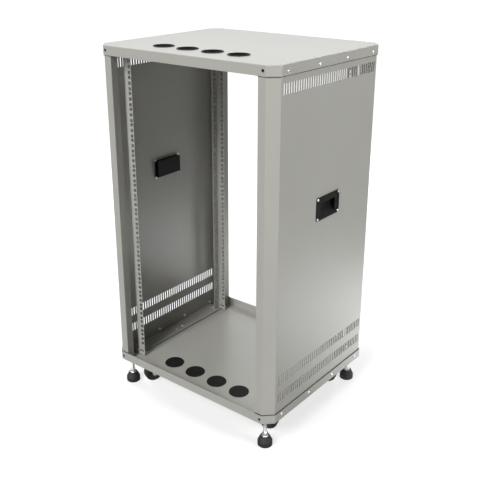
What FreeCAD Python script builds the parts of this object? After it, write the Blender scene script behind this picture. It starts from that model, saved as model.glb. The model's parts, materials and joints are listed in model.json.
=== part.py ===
import FreeCAD, Part
import os
import re

import Sketcher

# Rolling open frame rack for 19 inch equipment: two side panels bent from sheet, a lid and a base
# tray with turned edges, four drilled rails, swivel castors and screw feet.
# Millimetres, +Z up, front towards -Y, origin on the floor under the middle of the rack.

SIZES = {
    # Overall body
    "overall_width": 600.0,
    "overall_depth": 500.0,
    "overall_height": 1055.0,
    "sheet_thickness": 1.5,
    "bend_radius": 2.0,
    "corner_chamfer": 27.0,
    "lip_height": 27.0,
    "lip_gap": 1.0,
    # Side panels
    "front_flange": 23.5,
    "return_depth": 25.0,
    "ledge_lap": 12.0,
    "ledge_overhang": 2.0,
    "ledge_rise": 2.5,
    "vent_width": 5.0,
    "vent_height": 27.0,
    "vent_pitch": 10.2,
    "vent_count": 42,
    "vent_rise": 32.0,
    "vent_row_pitch": 54.0,
    "vent_drop": 18.0,
    # Cable entries and door holes in lid and base
    "entry_diameter": 54.0,
    "entry_pitch": 85.0,
    "entry_setback": 84.0,
    "rim_flange": 2.5,
    "rim_wall": 2.5,
    "rim_height": 2.0,
    "rim_depth": 6.0,
    "snap_clearance": 0.1,
    "door_hole": 6.0,
    "door_hole_inset": 35.0,
    # Rails
    "rail_clear": 450.8,
    "rail_face": 30.0,
    "rail_side": 25.0,
    "rail_thickness": 2.0,
    "rail_bend": 3.0,
    "rail_setback": 52.0,
    "rail_tab": 26.0,
    "hole_spacing": 465.1,
    "rack_unit": 44.45,
    "unit_count": 20,
    "hole_size": 9.5,
    "hole_step": 15.875,
    "foot_slot_length": 17.0,
    "foot_slot_height": 5.0,
    "foot_slot_rise": 12.0,
    # Recessed handles
    "handle_side_margin": 6.0,
    "handle_end_margin": 7.5,
    "handle_plate": 2.5,
    "handle_corner": 5.0,
    "handle_border": 6.5,
    "handle_field_corner": 8.0,
    "handle_field_depth": 0.8,
    "handle_level": 655.0,
    "cup_width": 98.0,
    "cup_height": 50.0,
    "cup_depth": 14.0,
    "cup_wall": 2.0,
    "cup_clearance": 1.0,
    "ramp_rise": 15.0,
    "grip_height": 9.0,
    "grip_thickness": 4.5,
    "mouth_side_wall": 14.0,
    # Castors
    "castor_side_inset": 97.0,
    "castor_end_inset": 93.0,
    "castor_plate": 60.0,
    "plate_corner": 6.0,
    "plate_thickness": 2.5,
    "race_diameter": 38.0,
    "race_foot_diameter": 34.0,
    "race_height": 6.5,
    "swivel_gap": 0.3,
    "kingpin_diameter": 10.0,
    "kingpin_head": 17.0,
    "kingpin_head_height": 3.5,
    "pin_clearance": 0.08,
    "fork_thickness": 3.0,
    "leg_thickness": 2.5,
    "fork_bend": 3.0,
    "fork_length": 30.0,
    "fork_shoulder": 11.0,
    "eye_diameter": 19.0,
    "castor_trail": 22.0,
    "wheel_diameter": 60.0,
    "wheel_lift": 2.0,
    "wheel_headroom": 8.9,
    "tread_width": 20.0,
    "tread_bevel": 2.5,
    "tread_depth": 7.0,
    "web_dish": 4.0,
    "hub_diameter": 20.0,
    "wheel_side_gap": 5.0,
    "axle_diameter": 8.0,
    "axle_head": 13.0,
    "axle_head_length": 4.0,
    "left_castor_angle": 247.0,
    "right_castor_angle": 16.0,
    # Screw feet
    "foot_side_inset": 38.0,
    "foot_end_inset": 32.0,
    "pad_diameter": 42.0,
    "pad_side": 15.0,
    "pad_height": 30.0,
    "pad_top_diameter": 27.0,
    "pad_edge": 2.0,
    "pad_recess": 20.0,
    "pad_recess_depth": 5.0,
    "stud_diameter": 10.0,
    "stud_seat": 8.0,
    "stud_rise": 29.5,
    "stud_point": 1.5,
    "nut_across": 16.0,
    "nut_thickness": 8.0,
}

# Places worked out from the sizes above
PAN_INSIDE_X = "(overall_width / 2 - sheet_thickness)"
PAN_INSIDE_Y = "(overall_depth / 2 - sheet_thickness)"
PAN_INSIDE_CHAMFER = "(corner_chamfer - sheet_thickness * (2 - sqrt(2)))"
PANEL_X = f"({PAN_INSIDE_X} - lip_gap)"
PANEL_Y = f"({PAN_INSIDE_Y} - lip_gap)"
PANEL_CHAMFER = f"({PAN_INSIDE_CHAMFER} - lip_gap * (2 - sqrt(2)))"
MITRE = "(sheet_thickness * (sqrt(2) - 1))"
FORK_TOP = "(plate_thickness + race_height + swivel_gap)"
PIN_HEAD = f"({FORK_TOP} + fork_thickness + swivel_gap)"
BASE_HEIGHT = f"(wheel_lift + wheel_diameter + wheel_headroom + kingpin_head_height + {PIN_HEAD})"
AXLE_DROP = f"({BASE_HEIGHT} - wheel_lift - wheel_diameter / 2)"
BASE_FLOOR = f"({BASE_HEIGHT} + sheet_thickness)"
BASE_RIM = f"({BASE_HEIGHT} + lip_height)"
LID_UNDERSIDE = "(overall_height - sheet_thickness)"
LID_RIM = "(overall_height - lip_height)"
DOOR_HOLE_X = "(overall_width / 2 - door_hole_inset)"
LOW_DOOR_HOLE = f"({BASE_HEIGHT} + lip_height / 2)"
HIGH_DOOR_HOLE = "(overall_height - lip_height / 2)"
LOW_LEDGE = f"({BASE_FLOOR} + ledge_rise)"
RAIL_FOOT = f"({LOW_LEDGE} + sheet_thickness)"
RAIL_HEAD = f"({LID_UNDERSIDE} - ledge_rise - sheet_thickness)"
RAIL_OUTER = "(rail_clear / 2 + rail_face)"
RAIL_FACE_Y = "(overall_depth / 2 - rail_setback)"
RIM_DIAMETER = "(entry_diameter + 2 * rim_flange)"
RIM_BORE = "(entry_diameter - 2 * rim_wall)"
CASTOR_X = "(overall_width / 2 - castor_side_inset)"
CASTOR_Y = "(overall_depth / 2 - castor_end_inset)"
FOOT_X = "(overall_width / 2 - foot_side_inset)"
FOOT_Y = "(overall_depth / 2 - foot_end_inset)"
STUD_TOP = f"({BASE_FLOOR} + stud_rise)"
LEG_INSIDE = "(tread_width / 2 + wheel_side_gap)"
LEG_OUTSIDE = f"({LEG_INSIDE} + leg_thickness)"

SIDES = {"left": -1, "right": 1}
ENDS = {"front": -1, "rear": 1}
SKETCH_ORIGIN = -1
START, END, CENTRE = 1, 2, 3
FULL_TURN = 360.0
HALF_TURN = 180.0
TOLERANCE = 1e-4
ACROSS = FreeCAD.Vector(1, 0, 0)
UPRIGHT = FreeCAD.Vector(0, 0, 1)

doc = FreeCAD.newDocument("open_frame_rack")
sheet = doc.addObject("Spreadsheet::Sheet", "sizes")
for row, (alias, size) in enumerate(SIZES.items(), start=1):
    sheet.set(f"A{row}", alias)
    sheet.set(f"B{row}", str(size))
    sheet.setAlias(f"B{row}", alias)
doc.recompute()


def tied(text):
    """Expression text with each size name pointing at its spreadsheet cell."""
    return re.sub(r"[a-z_]+", lambda word: f"sizes.{word[0]}" if word[0] in SIZES else word[0], text)


def value(text):
    """Present value of a size expression."""
    return float(sheet.evalExpression(tied(text)))


def new_body(label):
    """Empty body that carries its part's name."""
    body = doc.addObject("PartDesign::Body", label)
    body.Label = label
    return body


def new_sketch(body, name, plane, offset="0"):
    """Sketch on one of the body's own planes, moved along the plane's normal."""
    support = next(item for item in body.Origin.OriginFeatures if item.Role == plane)
    sketch = body.newObject("Sketcher::SketchObject", name)
    sketch.AttachmentSupport = (support, [""])
    sketch.MapMode = "FlatFace"
    sketch.setExpression("AttachmentOffset.Base.z", tied(offset))
    return sketch


def tie(sketch, kind, geometry, point, text):
    """Hold one coordinate of a sketch point at a size expression."""
    rule = Sketcher.Constraint(kind, SKETCH_ORIGIN, START, geometry, point, value(text))
    sketch.setExpression(f"Constraints[{sketch.addConstraint(rule)}]", tied(text))


def add_polygon(sketch, corners):
    """Closed outline through corners given as pairs of size expressions."""
    points = [FreeCAD.Vector(value(x), value(y), 0) for x, y in corners]
    first = sketch.GeometryCount
    for here, there in zip(points, points[1:] + points[:1]):
        sketch.addGeometry(Part.LineSegment(here, there))
    for step, (x, y) in enumerate(corners):
        following = first + (step + 1) % len(corners)
        sketch.addConstraint(Sketcher.Constraint("Coincident", first + step, END, following, START))
        tie(sketch, "DistanceX", first + step, START, x)
        tie(sketch, "DistanceY", first + step, START, y)


def add_rectangle(sketch, low, high):
    """Upright rectangle between two corners."""
    add_polygon(sketch, [low, (high[0], low[1]), high, (low[0], high[1])])


def add_circle(sketch, x, y, diameter):
    """Circle placed and sized by size expressions."""
    middle = FreeCAD.Vector(value(x), value(y), 0)
    ring = Part.Circle(middle, FreeCAD.Vector(0, 0, 1), value(diameter) / 2)
    index = sketch.addGeometry(ring)
    tie(sketch, "DistanceX", index, CENTRE, x)
    tie(sketch, "DistanceY", index, CENTRE, y)
    rule = sketch.addConstraint(Sketcher.Constraint("Diameter", index, value(diameter)))
    sketch.setExpression(f"Constraints[{rule}]", tied(diameter))


def pad(body, sketch, length, backwards=False, both_ways=False):
    """Extrude a sketch along its normal, against it, or evenly both ways."""
    feature = body.newObject("PartDesign::Pad", f"{sketch.Name}_pad")
    feature.Profile = sketch
    feature.setExpression("Length", tied(length))
    feature.Reversed = backwards
    feature.SideType = "Symmetric" if both_ways else "One side"
    doc.recompute()
    return feature


def cut(body, sketch, length=None, both_ways=False):
    """Cut a sketch against its normal or both ways, or right through the body when no length is given."""
    before = body.Shape.Volume
    feature = body.newObject("PartDesign::Pocket", f"{sketch.Name}_cut")
    feature.Profile = sketch
    if length is None:
        feature.Type = "ThroughAll"
        feature.SideType = "Symmetric"
    else:
        feature.setExpression("Length", tied(length))
        feature.SideType = "Symmetric" if both_ways else "One side"
    doc.recompute()
    if body.Shape.Volume >= before:
        raise RuntimeError(f"{feature.Name} cuts nothing")
    return feature


def repeat(body, feature, sketch, axis, pitch, count):
    """Row of copies of a cut along an axis of its sketch."""
    row = body.newObject("PartDesign::LinearPattern", f"{feature.Name}_row")
    row.Originals = [feature]
    row.Direction = (sketch, [axis])
    row.setExpression("Length", tied(f"{pitch} * ({count} - 1)"))
    row.setExpression("Occurrences", tied(count))
    body.Tip = row
    doc.recompute()
    return row


def round_edges(body, name, radius, chosen):
    """Fillet those edges of the body that a rule picks."""
    before = body.Tip
    edges = [f"Edge{number}" for number, edge in enumerate(before.Shape.Edges, start=1) if chosen(edge)]
    if not edges:
        raise RuntimeError(f"{name} finds no edge to round")
    feature = body.newObject("PartDesign::Fillet", name)
    feature.Base = (before, edges)
    feature.setExpression("Radius", tied(radius))
    doc.recompute()
    return feature


def runs_along(axis):
    """Rule that picks straight edges along an axis."""
    return lambda edge: abs(abs(edge.tangentAt(edge.FirstParameter).dot(axis)) - 1) < TOLERANCE


def lies_at_height(text):
    """Rule that picks level edges at a height."""
    return lambda edge: max(abs(end.Z - value(text)) for end in edge.Vertexes) < TOLERANCE


def stands_at(places):
    """Rule that picks upright edges standing on one of several points in plan."""
    spots = [FreeCAD.Vector(value(x), value(y), 0) for x, y in places]

    def chosen(edge):
        foot = FreeCAD.Vector(edge.Vertexes[0].X, edge.Vertexes[0].Y, 0)
        return runs_along(UPRIGHT)(edge) and any(foot.distanceToPoint(spot) < TOLERANCE for spot in spots)

    return chosen


def turned(body, name, plane, corners):
    """Solid of revolution about the sketch's upright axis."""
    sketch = new_sketch(body, name, plane)
    add_polygon(sketch, corners)
    feature = body.newObject("PartDesign::Revolution", f"{name}_turn")
    feature.Profile = sketch
    feature.ReferenceAxis = (sketch, ["V_Axis"])
    feature.Angle = FULL_TURN
    doc.recompute()
    return feature


def place(body, x="0", y="0", z="0", angle="0"):
    """Set a body down at a point, turned about the upright axis."""
    body.Placement = FreeCAD.Placement(
        FreeCAD.Vector(value(x), value(y), value(z)),
        FreeCAD.Rotation(FreeCAD.Vector(0, 0, 1), value(angle)),
    )
    for axis, text in zip("xyz", (x, y, z)):
        body.setExpression(f"Placement.Base.{axis}", tied(text))


def octagon(half_x, half_y, chamfer):
    """Rectangle with its four corners cut off at 45 degrees."""
    return [
        (f"{half_x} - {chamfer}", f"-{half_y}"),
        (half_x, f"-{half_y} + {chamfer}"),
        (half_x, f"{half_y} - {chamfer}"),
        (f"{half_x} - {chamfer}", half_y),
        (f"-{half_x} + {chamfer}", half_y),
        (f"-{half_x}", f"{half_y} - {chamfer}"),
        (f"-{half_x}", f"-{half_y} + {chamfer}"),
        (f"-{half_x} + {chamfer}", f"-{half_y}"),
    ]


def entry_places():
    """Middle of each cable entry, left to right."""
    y = "-overall_depth / 2 + entry_setback"
    return [(f"{step} * entry_pitch", y) for step in (-1.5, -0.5, 0.5, 1.5)]


def pan(label, low, face, hollow_top, door_hole_level):
    """Sheet pan with turned edges, cable entries and door holes: the lid, or the base tray."""
    body = new_body(label)
    outside = new_sketch(body, f"{label}_outside", "XY_Plane", low)
    add_polygon(outside, octagon("overall_width / 2", "overall_depth / 2", "corner_chamfer"))
    pad(body, outside, "lip_height")
    round_edges(body, f"{label}_bends", "bend_radius", lies_at_height(face))
    inside = new_sketch(body, f"{label}_inside", "XY_Plane", hollow_top)
    add_polygon(inside, octagon(PAN_INSIDE_X, PAN_INSIDE_Y, PAN_INSIDE_CHAMFER))
    cut(body, inside, "lip_height - sheet_thickness")
    entries = new_sketch(body, f"{label}_entries", "XY_Plane", low)
    for x, y in entry_places():
        add_circle(entries, x, y, "entry_diameter")
    cut(body, entries)
    doors = new_sketch(body, f"{label}_door_holes", "XZ_Plane")
    for side in SIDES.values():
        add_circle(doors, f"{side} * {DOOR_HOLE_X}", door_hole_level, "door_hole")
    cut(body, doors)
    return body


def base_tray():
    """Base pan, open upwards, drilled for the studs of the four feet."""
    body = pan("base_tray", BASE_HEIGHT, BASE_HEIGHT, BASE_RIM, LOW_DOOR_HOLE)
    studs = new_sketch(body, "base_stud_holes", "XY_Plane", BASE_HEIGHT)
    for x, y in foot_places():
        add_circle(studs, x, y, "stud_diameter + 4 * pin_clearance")
    cut(body, studs)
    return body


def foot_places():
    """Middle of each screw foot."""
    return [(f"{side} * {FOOT_X}", f"{end} * {FOOT_Y}") for side in SIDES.values() for end in ENDS.values()]


def side_panel(name):
    """Side bent from one sheet: flat side, chamfers, flanges with returns, ledges and vent slots."""
    body = new_body(f"{name}_side_panel")
    edge = f"({PANEL_X} - {PANEL_CHAMFER})"
    lap = f"({edge} - front_flange)"
    outer = [
        (lap, f"-{PANEL_Y} + return_depth"),
        (lap, f"-{PANEL_Y}"),
        (edge, f"-{PANEL_Y}"),
        (PANEL_X, f"-{PANEL_Y} + {PANEL_CHAMFER}"),
    ]
    inner = [
        (f"{lap} + sheet_thickness", f"-{PANEL_Y} + return_depth"),
        (f"{lap} + sheet_thickness", f"-{PANEL_Y} + sheet_thickness"),
        (f"{edge} - {MITRE}", f"-{PANEL_Y} + sheet_thickness"),
        (f"{PANEL_X} - sheet_thickness", f"-{PANEL_Y} + {PANEL_CHAMFER} + {MITRE}"),
    ]
    back = [(x, f"-({y})") for x, y in reversed(outer)]
    inner_back = [(x, f"-({y})") for x, y in inner]
    bend = new_sketch(body, f"{name}_bend", "XY_Plane", BASE_FLOOR)
    add_polygon(bend, outer + back + inner_back + inner[::-1])
    pad(body, bend, f"{LID_UNDERSIDE} - {BASE_FLOOR}")
    round_edges(body, f"{name}_bends", "bend_radius", stands_at(outer[1:] + back[:-1]))
    for part, level in (("low", LOW_LEDGE), ("high", RAIL_HEAD)):
        ledge = new_sketch(body, f"{name}_{part}_ledge", "XY_Plane", level)
        add_rectangle(
            ledge,
            (f"{RAIL_OUTER} - ledge_lap", f"-{RAIL_FACE_Y} - ledge_overhang"),
            (f"{PANEL_X} - sheet_thickness / 2", f"{RAIL_FACE_Y} + ledge_overhang"),
        )
        pad(body, ledge, "sheet_thickness")
    doors = new_sketch(body, f"{name}_door_holes", "XZ_Plane")
    for level in (LOW_DOOR_HOLE, HIGH_DOOR_HOLE):
        add_circle(doors, DOOR_HOLE_X, level, "door_hole")
    cut(body, doors)
    mouth = new_sketch(body, f"{name}_handle_opening", "YZ_Plane")
    half_width = "(cup_width / 2 + cup_clearance)"
    half_height = "(cup_height / 2 + cup_clearance)"
    add_rectangle(
        mouth,
        (f"-{half_width}", f"handle_level - {half_height}"),
        (half_width, f"handle_level + {half_height}"),
    )
    cut(body, mouth)
    slots = new_sketch(body, f"{name}_vents", "YZ_Plane")
    first = "(-vent_pitch * (vent_count - 1) / 2)"
    rows = (
        f"({BASE_RIM} + vent_rise)",
        f"({BASE_RIM} + vent_rise + vent_row_pitch)",
        f"({LID_RIM} - vent_drop - vent_height)",
    )
    for low in rows:
        add_rectangle(
            slots,
            (f"{first} - vent_width / 2", low),
            (f"{first} + vent_width / 2", f"{low} + vent_height"),
        )
    repeat(body, cut(body, slots), slots, "H_Axis", "vent_pitch", "vent_count")
    if name == "left":
        place(body, angle=f"{HALF_TURN}")
    return body


def rail(end_name, side_name):
    """L-section rail with square holes in groups of three a rack unit and a bolted tab at each end."""
    label = f"{end_name}_{side_name}_rail"
    side = SIDES[side_name]
    end = ENDS[end_name]
    body = new_body(label)
    face = RAIL_FACE_Y
    section = [
        ("rail_clear / 2", face),
        (RAIL_OUTER, face),
        (RAIL_OUTER, f"{face} - rail_side"),
        (f"{RAIL_OUTER} - rail_thickness", f"{face} - rail_side"),
        (f"{RAIL_OUTER} - rail_thickness", f"{face} - rail_thickness"),
        ("rail_clear / 2", f"{face} - rail_thickness"),
    ]
    profile = new_sketch(body, f"{label}_section", "XY_Plane", RAIL_FOOT)
    add_polygon(profile, [(f"{side} * ({x})", f"{end} * ({y})") for x, y in section])
    pad(body, profile, f"{RAIL_HEAD} - {RAIL_FOOT}")
    bend = (f"{side} * {RAIL_OUTER}", f"{end} * {face}")
    round_edges(body, f"{label}_bend", "rail_bend", stands_at([bend]))
    for part, level in (("low", RAIL_FOOT), ("high", f"{RAIL_HEAD} - rail_thickness")):
        tab = new_sketch(body, f"{label}_{part}_tab", "XY_Plane", level)
        add_rectangle(
            tab,
            (f"{side} * ({RAIL_OUTER} - rail_thickness / 2)", f"{end} * ({face} - rail_side)"),
            (f"{side} * ({RAIL_OUTER} + rail_tab)", f"{end} * ({face})"),
        )
        pad(body, tab, "rail_thickness")
    middle = f"({RAIL_FOOT} + {RAIL_HEAD}) / 2"
    first = f"({middle} - unit_count * rack_unit / 2 + rack_unit / 2 - hole_step)"
    column = f"{side} * hole_spacing / 2"
    slots = new_sketch(body, f"{label}_foot_slots", "XZ_Plane")
    for level in (f"({RAIL_FOOT} + foot_slot_rise)", f"({RAIL_HEAD} - foot_slot_rise)"):
        slot_middle = f"{side} * (rail_clear / 2 + rail_face / 2 - rail_thickness)"
        add_rectangle(
            slots,
            (f"{slot_middle} - foot_slot_length / 2", f"{level} - foot_slot_height / 2"),
            (f"{slot_middle} + foot_slot_length / 2", f"{level} + foot_slot_height / 2"),
        )
    cut(body, slots)
    holes = new_sketch(body, f"{label}_holes", "XZ_Plane")
    for step in range(3):
        level = f"({first} + {step} * hole_step)"
        add_rectangle(
            holes,
            (f"{column} - hole_size / 2", f"{level} - hole_size / 2"),
            (f"{column} + hole_size / 2", f"{level} + hole_size / 2"),
        )
    repeat(body, cut(body, holes), holes, "V_Axis", "rack_unit", "unit_count")
    side_holes = new_sketch(body, f"{label}_side_holes", "YZ_Plane")
    side_column = f"{end} * ({face} - rail_side / 2 - rail_thickness / 2)"
    for step in range(3):
        level = f"({first} + {step} * hole_step)"
        add_rectangle(
            side_holes,
            (f"{side_column} - hole_size / 2", f"{level} - hole_size / 2"),
            (f"{side_column} + hole_size / 2", f"{level} + hole_size / 2"),
        )
    repeat(body, cut(body, side_holes), side_holes, "V_Axis", "rack_unit", "unit_count")
    return body


def entry_rim(number, x, y):
    """Snap-in ring that lines a cable entry in the lid."""
    body = new_body(f"lid_entry_rim_{number}")
    sleeve = "(entry_diameter / 2 - snap_clearance)"
    turned(
        body,
        f"entry_rim_{number}",
        "XZ_Plane",
        [
            (f"{RIM_BORE} / 2", "-rim_depth"),
            (f"{RIM_BORE} / 2", "rim_height"),
            (f"{RIM_DIAMETER} / 2 - rim_height / 2", "rim_height"),
            (f"{RIM_DIAMETER} / 2", "0"),
            (sleeve, "0"),
            (sleeve, "-rim_depth"),
        ],
    )
    place(body, x, y, "overall_height")
    return body


def entry_cover(number, x, y):
    """Snap-in cover that closes a cable entry in the base."""
    body = new_body(f"base_entry_cover_{number}")
    sleeve = "(entry_diameter / 2 - snap_clearance)"
    turned(
        body,
        f"entry_cover_{number}",
        "XZ_Plane",
        [
            ("0", "-sheet_thickness"),
            ("0", "rim_height"),
            (f"{RIM_DIAMETER} / 2 - rim_height / 2", "rim_height"),
            (f"{RIM_DIAMETER} / 2", "0"),
            (sleeve, "0"),
            (sleeve, "-rim_depth"),
            (f"{RIM_BORE} / 2", "-rim_depth"),
            (f"{RIM_BORE} / 2", "-sheet_thickness"),
        ],
    )
    place(body, x, y, BASE_FLOOR)
    return body


def handle(name):
    """Recessed cup handle: a bordered plate on the panel and behind it a box cup with a ramp and a grip."""
    body = new_body(f"{name}_handle")
    half_width = "(cup_width / 2 + handle_side_margin)"
    half_height = "(cup_height / 2 + handle_end_margin)"
    plate = new_sketch(body, f"{name}_handle_plate", "YZ_Plane")
    add_rectangle(plate, (f"-{half_width}", f"-{half_height}"), (half_width, half_height))
    pad(body, plate, "handle_plate")
    round_edges(body, f"{name}_handle_corners", "handle_corner", runs_along(ACROSS))
    field = new_sketch(body, f"{name}_handle_field", "YZ_Plane", "handle_plate")
    inside = (f"({half_width} - handle_border)", f"({half_height} - handle_border)")
    add_polygon(field, octagon(*inside, "handle_field_corner"))
    cut(body, field, "handle_field_depth")
    top = "(cup_height / 2)"
    cup = new_sketch(body, f"{name}_handle_cup", "YZ_Plane")
    add_rectangle(cup, ("-cup_width / 2", f"-{top}"), ("cup_width / 2", top))
    pad(body, cup, "cup_depth", backwards=True)
    slope = "(ramp_rise / cup_depth)"
    back = "(cup_depth - cup_wall)"
    ceiling = f"({top} - cup_wall)"
    behind_grip = "(grip_thickness - handle_plate)"
    mouth = new_sketch(body, f"{name}_handle_mouth", "XZ_Plane")
    add_polygon(
        mouth,
        [
            ("handle_plate", f"-{ceiling} - handle_plate * {slope}"),
            ("handle_plate", f"{ceiling} - grip_height"),
            (f"-{behind_grip}", f"{ceiling} - grip_height"),
            (f"-{behind_grip}", ceiling),
            (f"-{back}", ceiling),
            (f"-{back}", f"-{ceiling} + {back} * {slope}"),
        ],
    )
    cut(body, mouth, "cup_width - 2 * mouth_side_wall", both_ways=True)
    side = SIDES[name]
    place(body, f"{side} * {PANEL_X}", "0", "handle_level", "0" if side > 0 else f"{HALF_TURN}")
    return body


def castor_plate(label, spot):
    """Fixed half of a castor: top plate, ball race and riveted kingpin."""
    body = new_body(f"{label}_castor_plate")
    plate = new_sketch(body, f"{label}_plate", "XY_Plane")
    half = "castor_plate / 2"
    add_rectangle(plate, (f"-{half}", f"-{half}"), (half, half))
    pad(body, plate, "plate_thickness", backwards=True)
    round_edges(body, f"{label}_plate_corners", "plate_corner", runs_along(UPRIGHT))
    race_foot = "-(plate_thickness + race_height)"
    head = f"-{PIN_HEAD}"
    turned(
        body,
        f"{label}_race",
        "XZ_Plane",
        [
            ("0", "-plate_thickness / 2"),
            ("race_diameter / 2", "-plate_thickness / 2"),
            ("race_diameter / 2", "-plate_thickness"),
            ("race_foot_diameter / 2", race_foot),
            ("kingpin_diameter / 2", race_foot),
            ("kingpin_diameter / 2", head),
            ("kingpin_head / 2", head),
            ("kingpin_head / 4", f"{head} - kingpin_head_height"),
            ("0", f"{head} - kingpin_head_height"),
        ],
    )
    place(body, *spot)
    return body


def castor_fork(label, spot):
    """Swivelling fork pressed from one plate, with a hole for the kingpin and two axle eyes."""
    body = new_body(f"{label}_castor_fork")
    flank = new_sketch(body, f"{label}_flank", "XZ_Plane")
    add_polygon(
        flank,
        [
            ("-fork_length / 2", f"-{FORK_TOP}"),
            ("fork_length / 2", f"-{FORK_TOP}"),
            ("castor_trail + eye_diameter / 2", f"-{AXLE_DROP}"),
            ("castor_trail - eye_diameter / 2", f"-{AXLE_DROP}"),
            ("-fork_length / 2", f"-{FORK_TOP} - fork_shoulder"),
        ],
    )
    pad(body, flank, f"2 * {LEG_OUTSIDE}", both_ways=True)
    top = lies_at_height(f"-{FORK_TOP}")
    lengthwise = runs_along(ACROSS)
    round_edges(body, f"{label}_bends", "fork_bend", lambda edge: top(edge) and lengthwise(edge))
    eye = new_sketch(body, f"{label}_eye", "XZ_Plane")
    add_circle(eye, "castor_trail", f"-{AXLE_DROP}", "eye_diameter")
    pad(body, eye, f"2 * {LEG_OUTSIDE}", both_ways=True)
    gap = new_sketch(body, f"{label}_gap", "XZ_Plane")
    reach = "(castor_trail + eye_diameter)"
    add_rectangle(
        gap,
        (f"-{reach}", f"-{AXLE_DROP} - eye_diameter"),
        (reach, f"-{FORK_TOP} - fork_thickness"),
    )
    cut(body, gap, f"2 * {LEG_INSIDE}", both_ways=True)
    pin = new_sketch(body, f"{label}_pin_hole", "XY_Plane")
    add_circle(pin, "0", "0", "kingpin_diameter + 2 * pin_clearance")
    cut(body, pin)
    axle = new_sketch(body, f"{label}_axle_holes", "XZ_Plane")
    add_circle(axle, "castor_trail", f"-{AXLE_DROP}", "axle_diameter + pin_clearance")
    cut(body, axle)
    place(body, *spot)
    return body


def axle_spot(side_name, end_name):
    """Where a castor's axle crosses the middle of its wheel, with the castor's angle."""
    angle = f"{side_name}_castor_angle"
    x = f"{SIDES[side_name]} * {CASTOR_X} + castor_trail * cos({angle})"
    y = f"{ENDS[end_name]} * {CASTOR_Y} + castor_trail * sin({angle})"
    return x, y, "wheel_lift + wheel_diameter / 2", angle


def castor_axle(label, spot):
    """Axle bolt with a head outside each fork leg."""
    body = new_body(f"{label}_castor_axle")
    reach = f"({LEG_OUTSIDE} + axle_head_length)"
    turned(
        body,
        f"{label}_axle",
        "XY_Plane",
        [
            ("0", f"-{reach}"),
            ("axle_head / 2", f"-{reach}"),
            ("axle_head / 2", f"-{LEG_OUTSIDE}"),
            ("axle_diameter / 2", f"-{LEG_OUTSIDE}"),
            ("axle_diameter / 2", LEG_OUTSIDE),
            ("axle_head / 2", LEG_OUTSIDE),
            ("axle_head / 2", reach),
            ("0", reach),
        ],
    )
    place(body, *spot)
    return body


def castor_wheel(label, spot):
    """Wheel with a bevelled tread, dished sides and a long hub."""
    body = new_body(f"{label}_castor_wheel")
    hub = f"({LEG_INSIDE} - swivel_gap)"
    half = [
        ("axle_diameter / 2 + pin_clearance", hub),
        ("hub_diameter / 2", hub),
        ("hub_diameter / 2", "tread_width / 2 - web_dish"),
        ("wheel_diameter / 2 - tread_depth", "tread_width / 2"),
        ("wheel_diameter / 2 - tread_bevel", "tread_width / 2"),
        ("wheel_diameter / 2", "tread_width / 2 - tread_bevel"),
    ]
    other_half = [(x, f"-({y})") for x, y in reversed(half)]
    turned(body, f"{label}_wheel", "XY_Plane", half + other_half)
    place(body, *spot)
    return body


def castor(side_name, end_name):
    """The four pieces of one swivel castor under a corner of the base."""
    label = f"{end_name}_{side_name}"
    angle = f"{side_name}_castor_angle"
    spot = (f"{SIDES[side_name]} * {CASTOR_X}", f"{ENDS[end_name]} * {CASTOR_Y}", BASE_HEIGHT)
    hub_spot = axle_spot(side_name, end_name)
    return [
        castor_plate(label, spot),
        castor_fork(label, (*spot, angle)),
        castor_axle(label, hub_spot),
        castor_wheel(label, hub_spot),
    ]


def foot_pad(label, spot):
    """Rubber foot with a conical top and a recess for its nut."""
    body = new_body(f"{label}_foot_pad")
    turned(
        body,
        f"{label}_pad",
        "XZ_Plane",
        [
            ("0", "0"),
            ("pad_diameter / 2 - pad_edge", "0"),
            ("pad_diameter / 2", "pad_edge"),
            ("pad_diameter / 2", "pad_side"),
            ("pad_top_diameter / 2", "pad_height"),
            ("pad_recess / 2", "pad_height"),
            ("pad_recess / 2", "pad_height - pad_recess_depth"),
            ("stud_diameter / 2 + pin_clearance", "pad_height - pad_recess_depth"),
            ("stud_diameter / 2 + pin_clearance", "stud_seat"),
            ("0", "stud_seat"),
        ],
    )
    place(body, *spot)
    return body


def foot_stud(label, spot):
    """Levelling stud that stands in the foot and screws up through the base."""
    body = new_body(f"{label}_foot_stud")
    turned(
        body,
        f"{label}_stud",
        "XZ_Plane",
        [
            ("0", "stud_seat"),
            ("stud_diameter / 2", "stud_seat"),
            ("stud_diameter / 2", f"{STUD_TOP} - stud_point"),
            ("stud_diameter / 2 - stud_point", STUD_TOP),
            ("0", STUD_TOP),
        ],
    )
    place(body, *spot)
    return body


def stud_nut(label, spot):
    """Hexagon nut fixed under the base, in which a levelling stud turns."""
    body = new_body(f"{label}_stud_nut")
    hexagon = new_sketch(body, f"{label}_hexagon", "XY_Plane")
    corner = "(nut_across / sqrt(3))"
    add_polygon(
        hexagon,
        [
            (corner, "0"),
            (f"{corner} / 2", "nut_across / 2"),
            (f"-{corner} / 2", "nut_across / 2"),
            (f"-{corner}", "0"),
            (f"-{corner} / 2", "-nut_across / 2"),
            (f"{corner} / 2", "-nut_across / 2"),
        ],
    )
    pad(body, hexagon, "nut_thickness", backwards=True)
    thread = new_sketch(body, f"{label}_thread", "XY_Plane")
    add_circle(thread, "0", "0", "stud_diameter + 2 * pin_clearance")
    cut(body, thread)
    place(body, *spot, BASE_HEIGHT)
    return body


def foot(side_name, end_name):
    """The pieces of one screw foot."""
    label = f"{end_name}_{side_name}"
    spot = (f"{SIDES[side_name]} * {FOOT_X}", f"{ENDS[end_name]} * {FOOT_Y}")
    return [foot_pad(label, spot), foot_stud(label, spot)]


def stud_nuts():
    """The nuts of all four feet, which stay with the base."""
    nuts = doc.addObject("Part::Compound", "stud_nuts")
    nuts.Links = [stud_nut(f"nut_{number}", spot) for number, spot in enumerate(foot_places(), start=1)]
    return nuts


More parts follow.
